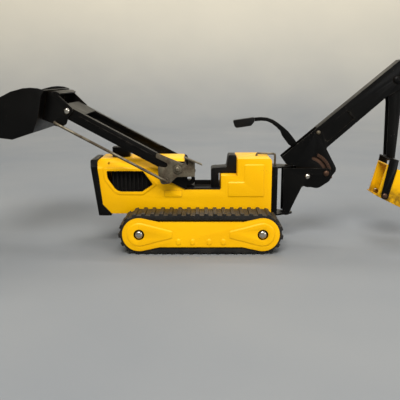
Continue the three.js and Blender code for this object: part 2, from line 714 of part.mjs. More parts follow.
// Bent in at both ends, through the tilt lever and through the bucket's ear, clear of the arm.
function linkRod() {
  const inner = -(ARM_Y[1] + GAP);
  return wire([
    [ROD_REAR[0], inner, ROD_REAR[1]], [ROD_REAR[0], -ROD_Y, ROD_REAR[1]],
    [ROD_FRONT[0], -ROD_Y, ROD_FRONT[1]], [ROD_FRONT[0], inner, ROD_FRONT[1]],
  ], ROD_R, 1.9);
}

function rodCollar() {
  return cut(
    sideBar(NEAR, ROD_REAR, 3.2, LEVER_Y[1] + GAP, ROD_Y - ROD_R - 0.6, 14),
    sideBar(NEAR, ROD_REAR, ROD_R + 0.25, 30, 50, 12),
  );
}

function bucketPin(side) {
  const outside = EAR_Y[1] + 0.25;
  const inside = ARM_Y[0] - 0.25;
  return turnedOnSide(side, BUCKET_PIVOT, [
    [0, inside - 1.6], [3, inside - 1.2], [3, inside], [1.9, inside], [1.9, outside], [3.2, outside],
    [3, outside + 1], [1.8, outside + 1.9], [0, outside + 2.1],
  ]);
}

const BUCKET_BACK = [[-184.4, 115.5], [-163.8, 122.5], [-158, 137.4], [-154.1, 157.5], [-150.6, 163.3]];
const BUCKET_LIP = [-232.6, 121.5];
const BUCKET_BROW = [[-157, 165.2], [-164, 165.8], [-171.5, 165.2], [-183.5, 162], [-193.5, 157],
  [-206, 148.2], [-217.5, 138], [-227.5, 127.5]];

function loaderBucket() {
  const outline = [BUCKET_LIP, ...BUCKET_BACK, ...BUCKET_BROW];
  const inside = [[-235.2, 123.3], [-184.5, 117], [-164.9, 123.7], [-159.4, 137.8], [-155.5, 157.9],
    [-152, 164.2], [-152, 180], [-250, 180], [-250, 123.3]];
  const half = BUCKET_HALF - SHEET;
  return cut(plate(outline, -BUCKET_HALF, BUCKET_HALF), plate(inside, -half, half));
}

// Two ears on a back plate that lies against the bucket, with a flange over the top.
function bucketBracket() {
  const against = [[-151.3, 161.4], [-153.5, 157.6], [-157.4, 137.5], [-158.6, 134.2]];
  const strip = [...against, [-157.2, 133.8], [-156, 137.2], [-152.2, 157.2], [-150.4, 161.2]];
  let bracket = plate(strip, -EAR_Y[1], EAR_Y[1]);
  const flange = [
    [-151.3, 161.4], [-151.6, 160], [-147, 160.8], [-143.4, 160.4], [-140.6, 158.6], [-140, 159.8],
    [-143, 161.8], [-147, 162.2],
  ];
  bracket = bracket.add(plate(flange, -EAR_Y[1], EAR_Y[1]));
  const ear = [...against, ...rounded([
    [-147.5, 128, 2], [-139.8, 126.4, 3], [-134.4, 129.3, 3], [-131.9, 137.6, 4], [-126.2, 143.6, 3],
    [-143.3, 160.3, 1],
  ])];
  for (const { side } of SIDES) {
    bracket = bracket.add(sidePlate(side, ear, EAR_Y[0], EAR_Y[1]));
  }
  bracket = bracket.subtract(crossBar(BUCKET_PIVOT, 2.2, ...ACROSS));
  return bracket.subtract(crossBar(ROD_FRONT, ROD_R + 0.25, ...ACROSS, 12));
}

function buildLoader() {
  for (const { side, name } of SIDES) {
    addPiece(`loader_bracket_${name}`, loaderBracket(side), 'black');
    addPiece(`loader_bolt_${name}`, loaderBolt(side), 'steel');
    addPiece(`bucket_pin_${name}`, bucketPin(side), 'chrome');
  }
  addPiece('loader_arms', loaderArms(), 'black');
  addPiece('tilt_lever', tiltLever(), 'steel');
  addPiece('link_rod', linkRod(), 'steel');
  addPiece('rod_collar', rodCollar(), 'steel');
  addPiece('loader_bucket', loaderBucket(), 'black');
  addPiece('bucket_bracket', bucketBracket(), 'black');
}

// ---------------------------------------------------------------- swing mount

// An ear with a round end on the hinge axis, lying level between two heights.
function hingeEar(zLow, zHigh, rootHalf) {
  const end = arc([SWING_X, 0], EAR_END_R, -0.42 * Math.PI, 0.42 * Math.PI, 8);
  const root = BOX_REAR_X + GAP;
  return slab([[root, -rootHalf], [84, -rootHalf], ...end, [84, rootHalf], [root, rootHalf]], zLow, zHigh);
}

function swingMount() {
  const face = BOX_REAR_X + GAP;
  const outside = box([face, 83], [-MOUNT_HALF, MOUNT_HALF], [MOUNT_BOTTOM, MOUNT_TOP]);
  const inside = MOUNT_HALF - SHEET;
  const hollow = box([face + SHEET, 90], [-inside, inside], [MOUNT_BOTTOM - 1, MOUNT_TOP + 1]);
  return cut(
    join(
      cut(outside, hollow),
      hingeEar(MOUNT_TOP - EAR_THICK, MOUNT_TOP, MOUNT_HALF - 0.5),
      hingeEar(MOUNT_BOTTOM, MOUNT_BOTTOM + EAR_THICK, MOUNT_HALF - 0.5),
    ),
    upright([SWING_X, 0], 1.9, 20, 100),
    upright([KEEPER_END_X, 0], 1.5, 60, 100, 12),
  );
}

function hingePin() {
  const low = MOUNT_BOTTOM - 0.2;
  const high = MOUNT_TOP + 0.2;
  return turnedUpright([SWING_X, 0], [
    [0, low - 2.2], [3, low - 1.6], [3, low], [1.7, low], [1.7, high], [3, high], [2.6, high + 1],
    [0, high + 1.3],
  ]);
}

function keeperWire() {
  return wire([
    [KEEPER_HOLE_X, 0, 86], [KEEPER_HOLE_X, 0, 95.1], [KEEPER_END_X, 0, 94.6], [KEEPER_END_X, 0, 72],
  ], 1.2, 1.9);
}

// ---------------------------------------------------------------- backhoe

function swingBracket() {
  const outline = rounded([
    [90, 80, 0.5], [90, 31.2, 1], [96.5, 31.2, 2], [110.5, 61.5, 4], [127, 58, 9], [142, 68, 8],
    [139.5, 80, 3],
  ]);
  const web = box([97.2, 98.6], [-BRACKET_Y[1] + 0.4, BRACKET_Y[1] - 0.4], [34, 79]);
  let bracket = join(upright([SWING_X, 0], 4.2, MOUNT_BOTTOM + 2, MOUNT_TOP - 2), web);
  for (const { side } of SIDES) {
    bracket = bracket.add(sidePlate(side, outline, BRACKET_Y[0], BRACKET_Y[1]));
  }
  return cut(
    bracket,
    upright([SWING_X, 0], 2, 20, 100),
    crossBar(BOOM_PIVOT, 2.1, ...ACROSS),
    crossBar(STOP_RIVET, 2, ...ACROSS),
  );
}

// A rivet right through two plates, with a domed head at each end.
function throughRivet(centre, shank, head, faceY) {
  const crown = [[head, faceY], [head * 0.92, faceY + 0.9], [head * 0.5, faceY + 1.7], [0, faceY + 1.9]];
  const mirrored = crown.map(([r, y]) => [r, -y]).reverse();
  return turnedOnSide(FAR, centre, [...mirrored, [shank, -faceY], [shank, faceY], ...crown]);
}

const boomTop = frameAlong([94, 97.4], [208.5, 193.8]);

function boomOutline() {
  return rounded([
    [87.6, 92, 1], [94.4, 82.7, 0.5], [103.5, 82.7, 2], [105.4, 66, 6], [114, 59, 8], [132, 59.6, 12],
    [147.6, 78, 6], [134.8, 101.4, 2], [196.3, 155.6, 3], [206, 161, 6], [217, 168, 8], [218, 184, 8],
    [208.5, 193.8, 6],
  ]);
}

function slotPoint(angle) {
  return [BOOM_PIVOT[0] + SLOT_R * Math.cos(angle), BOOM_PIVOT[1] + SLOT_R * Math.sin(angle)];
}

// The curved slot that the stop rivet runs in as the boom rises.
function slotOutline() {
  const start = Math.atan2(STOP_RIVET[1] - BOOM_PIVOT[1], STOP_RIVET[0] - BOOM_PIVOT[0]);
  const half = 2.2;
  const end = start + SLOT_TRAVEL;
  return [
    ...arc(BOOM_PIVOT, SLOT_R + half, start, end, 10),
    ...arc(slotPoint(end), half, end, end + Math.PI, 6).slice(1, -1),
    ...arc(BOOM_PIVOT, SLOT_R - half, end, start, 10),
    ...arc(slotPoint(start), half, start + Math.PI, start + 2 * Math.PI, 6).slice(1, -1),
  ];
}

function boom() {
  const [inner, outer] = BOOM_Y;
  const { at, length } = boomTop;
  const web = plate([at(40, 0), at(40, -1.3), at(length, -1.3), at(length, 0)], -outer, outer);
  const panel = rounded([at(42, -5.5, 2), at(37, -19, 3), at(75, -17.5, 1), at(75, -5.5, 1)]);
  const rib = [at(75.2, -7.5), at(76.6, -7.5), at(76.6, -17.6), at(75.2, -17.6)];
  let shape = web;
  for (const { side } of SIDES) {
    shape = shape.add(sidePlate(side, boomOutline(), inner, outer));
    shape = shape.subtract(sidePlate(side, panel, outer - 0.6, outer + 1));
    shape = shape.add(sidePlate(side, rib, outer - 0.3, outer + 0.7));
  }
  return cut(
    shape,
    plate(slotOutline(), ...ACROSS),
    crossBar(BOOM_PIVOT, 2.3, ...ACROSS),
    crossBar(LEVER_PIVOT, 1.6, ...ACROSS, 12),
    crossBar(STICK_PIVOT, 2.8, ...ACROSS),
  );
}

// A plate between the boom's sides, held by both rivets, that closes the view through the slots.
function stopPlate() {
  const { degToRad } = THREE.MathUtils;
  const outline = [
    ...arc(BOOM_PIVOT, 27.4, degToRad(-6), degToRad(82), 12),
    ...arc(BOOM_PIVOT, 5, degToRad(120), degToRad(300), 8),
  ];
  return cut(
    plate(outline, -BOOM_Y[0] + 0.5, -BOOM_Y[0] + 1.5),
    crossBar(BOOM_PIVOT, 2.1, ...ACROSS),
    crossBar(STOP_RIVET, 2, ...ACROSS),
  );
}

// A ribbed strip beside the slot, which the stop rivet's washer clicks over.
function detentStrip() {
  const outer = BOOM_Y[1];
  const start = THREE.MathUtils.degToRad(16);
  const end = THREE.MathUtils.degToRad(66);
  const band = [
    ...arc(BOOM_PIVOT, 26.6, start, end, 12),
    ...arc(BOOM_PIVOT, 23.2, end, start, 12),
  ];
  let strip = sidePlate(NEAR, band, outer + 0.1, outer + 0.5);
  for (let i = 0; i < 9; i += 1) {
    const angle = start + ((i + 0.6) * (end - start)) / 9.2;
    const rib = [
      ...arc(BOOM_PIVOT, 26.4, angle - 0.025, angle + 0.025, 1),
      ...arc(BOOM_PIVOT, 23.4, angle + 0.025, angle - 0.025, 1),
    ];
    strip = strip.add(sidePlate(NEAR, rib, outer + 0.3, outer + 0.9));
  }
  return strip;
}

function controlLever() {
  const run = [
    [136.4, 106.6, 5], [131, 112.5, 5], [126.5, 116.9, 5.6], [115, 107, 6.6], [105, 101.6, 7.6],
    [98.5, 107.6, 8.4], [91.6, 116.4, 8], [88, 121.2, 5.2], [83, 125.5, 4.6], [77.5, 129.3, 4.2],
    [71.5, 131.6, 3.8], [65, 132.1, 3.8], [58.5, 131.5, 4],
  ];
  return cut(plate(ribbon(run), -1.5, 1.5), crossBar(LEVER_PIVOT, 1.7, ...ACROSS, 12));
}

function leverGrip() {
  const outline = rounded([
    [37.6, 122.4, 3], [35.2, 130.6, 1.5], [58, 134, 1], [58, 129.4, 1], [54.6, 125, 2],
  ]);
  return plate(outline, -4.4, 4.4);
}

function pushRod() {
  const rod = frameAlong(ROD_LOW_END, ROD_HIGH_END);
  const outline = rounded([
    rod.at(-2.6, 2.2, 2), rod.at(-2.6, -2.2, 2), rod.at(rod.length + 2.6, -2.2, 2),
    rod.at(rod.length + 2.6, 2.2, 2),
  ]);
  return plate(outline, 2, 3.6);
}

function stick() {
  const head = arc(STICK_PIVOT, 11, -0.12 * Math.PI, 1.1 * Math.PI, 12);
  const backEdge = [[209.4, 91.5], [210.2, 104.7], [211.6, 131.8], [212.6, 145]];
  const backInside = [[211.3, 145], [210.3, 132], [208.9, 104.9], [208.1, 91.8]];
  const outline = [...head, [199.4, 150], [200.2, 93.7], ...backEdge, [213.6, 158]];
  const foot = [[200.2, 92.4], [209.4, 90.2], [209.4, 91.5], [200.2, 93.7]];
  const [inner, outer] = STICK_Y;
  let shape = join(plate([...backEdge, ...backInside], -outer, outer), plate(foot, -outer, outer));
  for (const { side } of SIDES) {
    shape = shape.add(sidePlate(side, outline, inner, outer));
  }
  return cut(shape, crossBar(STICK_PIVOT, 2.7, ...ACROSS), upright([YOKE_RIVET_X, 0], 1.8, 85, 100, 14));
}

// The pin turns with the stick and carries the crank that the push rod works.
function stickPin() {
  const crankLine = frameAlong(STICK_PIVOT, ROD_HIGH_END);
  const crank = plate(rounded([
    crankLine.at(-4.5, 4.5, 4), crankLine.at(-4.5, -4.5, 4), crankLine.at(12, -3, 2.6),
    crankLine.at(12, 3, 2.6),
  ]), -1.4, 1.4);
  return throughRivet(STICK_PIVOT, 2.6, 4, BOOM_Y[1] + 0.2).add(crank);
}

// An upside-down U: a level plate under the stick's foot and a leg down each side of the bucket.
function yoke() {
  const top = [[200.4, 92], [200.4, 90.7], [209.8, 88.4], [209.8, 89.7]];
  const leg = rounded([
    [200.4, 92], [209.8, 89.7], [208.3, 79.6], [201.8, 53.8, 2], [200.8, 47.6, 3.5], [193.4, 47.6, 3.5],
    [193.6, 53.8, 1], [197.5, 74.3],
  ]);
  let shape = plate(top, -YOKE_Y[1], YOKE_Y[1]);
  for (const { side } of SIDES) {
    shape = shape.add(sidePlate(side, leg, ...YOKE_Y));
  }
  const rivetHole = upright([YOKE_RIVET_X, 0], 1.8, 85, 100, 14);
  return cut(shape, crossBar(REAR_BUCKET_PIVOT, 2.1, ...ACROSS), rivetHole);
}

function yokeRivet() {
  return turnedUpright([YOKE_RIVET_X, 0], [
    [0, 87.3], [2.6, 87.9], [2.6, 88.7], [1.6, 88.7], [1.6, 93.5], [2.6, 93.5], [2.3, 94.5], [0, 94.9],
  ], 16);
}

function rearBucketRivet(side) {
  const outside = YOKE_Y[1] + 0.1;
  const inside = REAR_BUCKET_HALF - SHEET - 0.3;
  return turnedOnSide(side, REAR_BUCKET_PIVOT, [
    [0, inside - 1.2], [2.3, inside - 1], [2.3, inside], [1.9, inside], [1.9, outside], [3, outside],
    [2.8, outside + 0.9], [1.6, outside + 1.6], [0, outside + 1.8],
  ]);
}

// A point a distance up the bucket's mouth edge and a distance back along its floor.
function bucketPoint(up, back, radius) {
  const low = new THREE.Vector2(...MOUTH_LOW);
  const mouth = new THREE.Vector2(...MOUTH_HIGH).sub(low).normalize();
  const floor = new THREE.Vector2(Math.cos(FLOOR_TILT), Math.sin(FLOOR_TILT));
  const point = low.addScaledVector(mouth, up).addScaledVector(floor, back);
  return [point.x, point.y, radius];
}

function rearBucket() {
  const height = Math.hypot(MOUTH_HIGH[0] - MOUTH_LOW[0], MOUTH_HIGH[1] - MOUTH_LOW[1]);
  const { low, high } = REAR_BUCKET_DEPTH;
  const outside = rounded([
    bucketPoint(0, 0), bucketPoint(0, low, 12), bucketPoint(height, high, 11), bucketPoint(height, 0),
  ], 5);
  const inside = rounded([
    bucketPoint(SHEET, -6), bucketPoint(SHEET, low - SHEET, 10.6),
    bucketPoint(height - SHEET, high - SHEET, 9.6), bucketPoint(height - SHEET, -6),
  ], 5);
  const half = REAR_BUCKET_HALF;
  let bucket = cut(
    plate(outside, -half, half),
    plate(inside, -half + SHEET, half - SHEET),
    crossBar(REAR_BUCKET_PIVOT, 2.1, ...ACROSS),
  );
  for (const centre of [-10.6, -3.6, 3.6, 10.6]) {
    const tooth = [bucketPoint(0, 1), bucketPoint(1.4, 1), bucketPoint(1.2, -3.2), bucketPoint(0.2, -3.2)];
    bucket = bucket.add(plate(tooth, centre - 2.2, centre + 2.2));
  }
  return bucket;
}

function buildBackhoe() {
  addPiece('swing_mount', swingMount(), 'black');
  addPiece('swing_hinge_pin', hingePin(), 'steel');
  addPiece('keeper_wire', keeperWire(), 'steel');
  addPiece('swing_bracket', swingBracket(), 'black');
  addPiece('boom_pivot_rivet', throughRivet(BOOM_PIVOT, 2, 2.9, BRACKET_Y[1] + 0.1), 'chrome');
  addPiece('boom_stop_rivet', throughRivet(STOP_RIVET, 1.9, 3.2, BRACKET_Y[1] + 0.1), 'rust');
  addPiece('stop_plate', stopPlate(), 'rust');
  addPiece('boom', boom(), 'black');
  addPiece('detent_strip', detentStrip(), 'rust');
  addPiece('lever_rivet', throughRivet(LEVER_PIVOT, 1.5, 2.3, BOOM_Y[1] + 0.1), 'steel');
  addPiece('control_lever', controlLever(), 'black');
  addPiece('lever_grip', leverGrip(), 'plastic');
  addPiece('push_rod', pushRod(), 'steel');
  addPiece('stick', stick(), 'black');
  addPiece('stick_pin', stickPin(), 'black');
  addPiece('yoke', yoke(), 'black');
  addPiece('yoke_rivet', yokeRivet(), 'steel');
  for (const { side, name } of SIDES) {
    addPiece(`rear_bucket_rivet_${name}`, rearBucketRivet(side), side === NEAR ? 'rust' : 'chrome');
  }
  addPiece('rear_bucket', rearBucket(), 'yellow');
}

buildTracks();
buildAxle('front');
buildAxle('rear');
buildBody();
buildLoader();
buildBackhoe();

export default group;
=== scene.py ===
"""A pressed-steel toy backhoe loader: finishes, softened edges, studio light and camera.

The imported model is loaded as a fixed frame. Every CAD node keeps its shape, gets its sheet edges
rounded by modifiers, and is painted from the material slot that the record gives it.
"""

import json
import math

import bmesh
import bpy
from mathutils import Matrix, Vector


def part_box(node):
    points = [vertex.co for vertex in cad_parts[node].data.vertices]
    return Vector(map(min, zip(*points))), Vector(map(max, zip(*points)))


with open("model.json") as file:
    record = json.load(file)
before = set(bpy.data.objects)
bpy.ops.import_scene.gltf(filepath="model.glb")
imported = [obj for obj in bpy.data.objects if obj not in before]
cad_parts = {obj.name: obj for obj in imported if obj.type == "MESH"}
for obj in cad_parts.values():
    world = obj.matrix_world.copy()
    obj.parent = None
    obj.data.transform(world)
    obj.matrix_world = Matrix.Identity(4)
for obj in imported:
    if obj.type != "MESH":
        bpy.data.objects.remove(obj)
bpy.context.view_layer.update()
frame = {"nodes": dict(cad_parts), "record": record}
NODES = frame["nodes"]
SLOT_OF = {entry["node"]: entry["material_slot"] for entry in frame["record"]["subparts"]}

# ---------------------------------------------------------------- driving values, in metres

MM = 0.001
LENS_MM = 54.0
SENSOR_MM = 36.0
CAMERA_DISTANCE = 0.647
CAMERA_HEIGHT = 0.175
CAMERA_PITCH = math.radians(11.5)

FLOOR_RADIUS = 1.5
SWEEP_RADIUS = 0.7
WALL_TOP = 2.0
AROUND = 96

WORLD_STRENGTH = 0.16
WORLD_TINT = (0.86, 0.9, 1.0, 1.0)
MIDDLE = (0.0, 0.0, 0.08)

# Each softbox: its place, what it points at, width, height, power in watts and tint.
SOFTBOXES = {
    "key": ((-0.15, -1.2, 1.3), MIDDLE, 0.8, 0.6, 29.0, (1.0, 0.98, 0.93)),
    "fill": ((1.3, -1.1, 0.6), MIDDLE, 0.8, 0.6, 7.5, (0.97, 0.98, 1.0)),
    "top": ((0.3, 0.1, 1.4), MIDDLE, 1.1, 0.5, 8.0, (1.0, 0.99, 0.96)),
    "wash": ((0.2, 1.25, 1.9), (0.3, 2.1, 0.3), 2.2, 0.3, 38.0, (1.0, 0.98, 0.94)),
}

EDGE_ANGLE = math.radians(18)
FLAT_ANGLE = math.radians(0.6)
WELD = 0.004 * MM
SOIL_DEPTH = 26 * MM                     # how far up the digging bucket dried dirt reaches
SOIL_FADE = 14 * MM
RUB_WIDTH = 0.7 * MM                     # width of the rubbed line on an enamel edge
EDGE_SHADE_WIDTH = 1.6 * MM                    # width of the painted shade, dark orange-brown, along a pressed line or edge

# Edge radius of each slot's pieces, in millimetres.
EDGE_RADIUS = {
    "yellow_enamel": 0.32,
    "black_enamel": 0.35,
    "black_rubber": 0.55,
    "black_plastic": 0.6,
    "worn_steel": 0.2,
    "bright_plating": 0.15,
    "rusty_steel": 0.12,
}

# ---------------------------------------------------------------- shader helpers


class Graph:
    """One material's node graph, with short calls for the nodes that the finishes share."""

    def __init__(self, name):
        self.material = bpy.data.materials.new(name)
        self.material.use_nodes = True
        self.tree = self.material.node_tree
        self.tree.nodes.clear()
        output = self.tree.nodes.new("ShaderNodeOutputMaterial")
        self.shader = self.tree.nodes.new("ShaderNodeBsdfPrincipled")
        self.tree.links.new(self.shader.outputs["BSDF"], output.inputs["Surface"])
        self.place = self.add("ShaderNodeTexCoord").outputs["Object"]
        self.facing = self.add("ShaderNodeNewGeometry")

    def add(self, kind, **settings):
        node = self.tree.nodes.new(kind)
        for key, value in settings.items():
            setattr(node, key, value)
        return node

    def feed(self, socket, value):
        if isinstance(value, bpy.types.NodeSocket):
            self.tree.links.new(value, socket)
        else:
            socket.default_value = value

    def noise(self, scale, detail=4.0, roughness=0.6, stretch=(1.0, 1.0, 1.0)):
        """A noise value, finer with scale, drawn out along the axes where stretch is small."""
        mapping = self.add("ShaderNodeMapping")
        self.feed(mapping.inputs["Vector"], self.place)
        self.feed(mapping.inputs["Scale"], stretch)
        node = self.add("ShaderNodeTexNoise")
        self.feed(node.inputs["Vector"], mapping.outputs["Vector"])
        self.feed(node.inputs["Scale"], scale)
        self.feed(node.inputs["Detail"], detail)
        self.feed(node.inputs["Roughness"], roughness)
        return node.outputs["Fac"]

    def cells(self, scale):
        node = self.add("ShaderNodeTexVoronoi")
        self.feed(node.inputs["Vector"], self.place)
        self.feed(node.inputs["Scale"], scale)
        return node.outputs["Distance"]

    def spread(self, value, low, high, to_low=0.0, to_high=1.0):
        """The value's part between low and high, mapped to the new pair and held there."""
        node = self.add("ShaderNodeMapRange")
        self.feed(node.inputs["Value"], value)
        for name, number in (
            ("From Min", low),
            ("From Max", high),
            ("To Min", to_low),
            ("To Max", to_high),
        ):
            self.feed(node.inputs[name], number)
        return node.outputs["Result"]

    def math(self, operation, first, second=0.0):
        node = self.add("ShaderNodeMath", operation=operation)
        self.feed(node.inputs[0], first)
        self.feed(node.inputs[1], second)
        return node.outputs["Value"]

    def blend(self, amount, first, second):
        """A colour between two colours."""
        node = self.add("ShaderNodeMix", data_type="RGBA")
        self.feed(node.inputs["Factor"], amount)
        self.feed(node.inputs["A"], first)
        self.feed(node.inputs["B"], second)
        return node.outputs["Result"]

    def edges(self, radius):
        """1 on a sharp outer or inner edge, falling to 0 on flat metal."""
        bevel = self.add("ShaderNodeBevel", samples=6)
        self.feed(bevel.inputs["Radius"], radius)
        dot = self.add("ShaderNodeVectorMath", operation="DOT_PRODUCT")
        self.feed(dot.inputs[0], bevel.outputs["Normal"])
        self.feed(dot.inputs[1], self.facing.outputs["Normal"])
        return self.spread(dot.outputs["Value"], 0.995, 0.8)

    def crevice(self, reach):
        """Ambient occlusion mask for painted shade: 1 deep in a corner or gap, 0 in the open."""
        shade = self.add("ShaderNodeAmbientOcclusion", samples=4)
        self.feed(shade.inputs["Distance"], reach)
        return self.spread(shade.outputs["AO"], 0.85, 0.3)

    def upward(self):
        """1 on surfaces that face up, where dust settles."""
        split = self.add("ShaderNodeSeparateXYZ")
        self.feed(split.inputs["Vector"], self.facing.outputs["Normal"])
        return self.spread(split.outputs["Z"], 0.2, 1.0)

    def bump(self, height, distance, strength=1.0):
        node = self.add("ShaderNodeBump")
        self.feed(node.inputs["Height"], height)
        self.feed(node.inputs["Distance"], distance)
        self.feed(node.inputs["Strength"], strength)
        self.feed(self.shader.inputs["Normal"], node.outputs["Normal"])

    def set(self, **sockets):
        """Principled inputs by name, with spaces written as underscores."""
        for name, value in sockets.items():
            self.feed(self.shader.inputs[name.replace("_", " ")], value)
        return self.material


def rgb(red, green, blue):
    return (red, green, blue, 1.0)


WHITE = rgb(1.0, 1.0, 1.0)
# Painted shade colour: dark orange-brown, laid along the enamel's pressed lines and edges.
EDGE_SHADE = rgb(0.3, 0.11, 0.0)
# Painted shade colour: dark brown, laid in the enamel's corners and gaps.
CREVICE_SHADE = rgb(0.05, 0.03, 0.012)
SOIL = rgb(0.05, 0.026, 0.01)
PALE_DUST = rgb(0.42, 0.38, 0.31)
BROWN_DUST = rgb(0.06, 0.05, 0.037)

# ---------------------------------------------------------------- finishes


def soil(g, top):
    """Dried dirt that thins out upward, from a height where it ends."""
    split = g.add("ShaderNodeSeparateXYZ")
    g.feed(split.inputs["Vector"], g.place)
    low = g.spread(split.outputs["Z"], top, top - SOIL_FADE)
    patchy = g.spread(g.noise(190.0, 5.0), 0.3, 0.62)
    return g.math("MULTIPLY", g.math("MULTIPLY", low, patchy), 0.8)


def enamel(
    name, paint, shade, bare, gloss, chips, dust, mirror, grime_and_shade,
    edge_shade=0.0, tint=WHITE, soil_top=None,
):
    """Sprayed enamel: slight orange peel, rubbed edges, small chips to bare metal, dust on top, and
    painted shade along pressed lines and in corners and gaps.

    Two of the arguments set how strongly shade is painted: in dark orange-brown along pressed lines and
    edges, and in dark brown in corners and gaps. soil_top is where dirt ends.
    """
    g = Graph(name)
    tone = g.spread(g.noise(14.0), 0.35, 0.7)
    colour = g.blend(tone, paint, shade)
    rubbed = g.math("MULTIPLY", g.edges(RUB_WIDTH), g.spread(g.noise(160.0, 6.0), 0.5, 0.62))
    pits = g.math(
        "MULTIPLY",
        g.spread(g.cells(420.0), 0.2, 0.12),
        g.spread(g.noise(48.0, 3.0), 0.62, 0.7),
    )
    scratches = g.spread(g.noise(260.0, 2.0, stretch=(0.07, 1.0, 1.0)), 0.7, 0.76)
    worn = g.math("MAXIMUM", g.math("MULTIPLY", rubbed, chips), g.math("MULTIPLY", pits, chips))
    colour = g.blend(worn, colour, bare)
    # Painted shade: the paint turns dark orange-brown along pressed lines and edges.
    colour = g.blend(g.math("MULTIPLY", g.edges(EDGE_SHADE_WIDTH), edge_shade), colour, EDGE_SHADE)
    # Painted shade: the paint turns dark brown in corners and gaps, following the ambient occlusion
    # mask.
    colour = g.blend(g.math("MULTIPLY", g.crevice(3 * MM), grime_and_shade), colour, CREVICE_SHADE)
    if soil_top is not None:
        colour = g.blend(soil(g, soil_top), colour, SOIL)
    settled = g.math("MULTIPLY", g.upward(), g.spread(g.noise(70.0, 6.0), 0.4, 0.75, 0.0, dust))
    colour = g.blend(settled, colour, PALE_DUST)
    smudge = g.spread(g.noise(36.0, 5.0), 0.35, 0.75, gloss, gloss + 0.16)
    rough = g.math("ADD", smudge, g.math("MULTIPLY", scratches, 0.2))
    rough = g.math("ADD", rough, g.math("MULTIPLY", worn, 0.3))
    peel = g.math("SUBTRACT", g.noise(420.0, 2.0), g.math("MULTIPLY", worn, 0.6))
    g.bump(peel, 0.05 * MM, 0.35)
    return g.set(
        Base_Color=colour,
        Roughness=rough,
        Metallic=g.math("MULTIPLY", worn, 0.7),
        Specular_IOR_Level=mirror,
        Specular_Tint=tint,
    )


def rubber():
    """Moulded black rubber with brown-grey dust on the faces that look up."""
    g = Graph("belt_rubber")
    grime_and_shade = g.spread(g.noise(60.0, 6.0), 0.42, 0.72)
    scuff = g.math("MULTIPLY", g.edges(0.9 * MM), g.spread(g.noise(120.0), 0.4, 0.65))
    colour = g.blend(grime_and_shade, rgb(0.004, 0.0038, 0.0036), rgb(0.012, 0.0105, 0.0085))
    settled = g.math("MULTIPLY", g.upward(), g.spread(grime_and_shade, 0.0, 1.0, 0.3, 0.75))
    colour = g.blend(settled, colour, BROWN_DUST)
    colour = g.blend(g.math("MULTIPLY", scuff, 0.35), colour, rgb(0.09, 0.085, 0.07))
    g.bump(g.noise(700.0, 5.0), 0.08 * MM, 0.5)
    return g.set(
        Base_Color=colour,
        Roughness=g.spread(grime_and_shade, 0.0, 1.0, 0.5, 0.8),
        Specular_IOR_Level=0.35,
    )


def plastic():
    """Moulded black plastic with a fine satin grain."""
    g = Graph("moulded_plastic")
    cloud = g.spread(g.noise(30.0, 5.0), 0.35, 0.7)
    rubbed = g.math("MULTIPLY", g.edges(0.8 * MM), g.spread(g.noise(150.0), 0.45, 0.6))
    colour = g.blend(cloud, rgb(0.003, 0.003, 0.0033), rgb(0.008, 0.0075, 0.007))
    colour = g.blend(g.math("MULTIPLY", rubbed, 0.3), colour, rgb(0.09, 0.085, 0.08))
    g.bump(g.noise(900.0, 3.0), 0.05 * MM, 0.4)
    return g.set(
        Base_Color=colour,
        Roughness=g.spread(cloud, 0.0, 1.0, 0.36, 0.54),
        Specular_IOR_Level=0.14,
    )


def steel(name, clean, stained, shine, stain_share):
    """Bare steel, dull and brushed, with brown staining in patches, and painted shade in corners and
    gaps.
    """
    g = Graph(name)
    stain = g.spread(g.noise(75.0, 7.0, 0.68), 0.62 - stain_share, 0.8 - stain_share)
    colour = g.blend(stain, clean, stained)
    # Painted shade: the steel turns near black in corners and gaps, following the ambient occlusion
    # mask.
    colour = g.blend(g.math("MULTIPLY", g.crevice(2 * MM), 0.85), colour, rgb(0.02, 0.016, 0.012))
    brushed = g.noise(500.0, 3.0, stretch=(0.08, 1.0, 1.0))
    rough = g.spread(brushed, 0.3, 0.7, shine, shine + 0.14)
    rough = g.math("ADD", rough, g.math("MULTIPLY", stain, 0.25))
    g.bump(g.math("ADD", brushed, g.math("MULTIPLY", stain, 0.8)), 0.03 * MM, 0.5)
    return g.set(
        Base_Color=colour,
        Roughness=rough,
        Metallic=g.spread(stain, 0.0, 1.0, 1.0, 0.45),
    )


def yellow_enamel(name, **extra):
    """The body's yellow. Its reflections are warmed a little, so that it stays deep in the light."""
    return enamel(
        name, rgb(0.96, 0.51, 0.001), rgb(0.9, 0.45, 0.0008), rgb(0.11, 0.07, 0.04),
        gloss=0.33, chips=0.5, dust=0.05, mirror=0.28, grime_and_shade=0.6, edge_shade=0.3,
        tint=rgb(1.0, 0.84, 0.5), **extra,
    )


def make_finishes():
    """One finish for each of the record's material slots."""
    return {
        "yellow_enamel": yellow_enamel("yellow_enamel_paint"),
        "black_enamel": enamel(
            "black_enamel_paint", rgb(0.0018, 0.0018, 0.0018), rgb(0.004, 0.0038, 0.0035),
            rgb(0.16, 0.14, 0.12), gloss=0.34, chips=0.4, dust=0.02, mirror=0.1, grime_and_shade=0.2,
        ),
        "black_rubber": rubber(),
        "black_plastic": plastic(),
        "worn_steel": steel(
            "dull_steel", rgb(0.185, 0.16, 0.115), rgb(0.07, 0.05, 0.03), 0.42, 0.18,
        ),
        "bright_plating": steel(
            "bright_plate", rgb(0.52, 0.49, 0.43), rgb(0.22, 0.17, 0.12), 0.17, 0.0,
        ),
        "rusty_steel": steel(
            "rusted_steel", rgb(0.1, 0.056, 0.037), rgb(0.05, 0.022, 0.012), 0.44, 0.14,
        ),
    }


def paint(node, material):
    node.data.materials.clear()
    node.data.materials.append(material)


# ---------------------------------------------------------------- edges


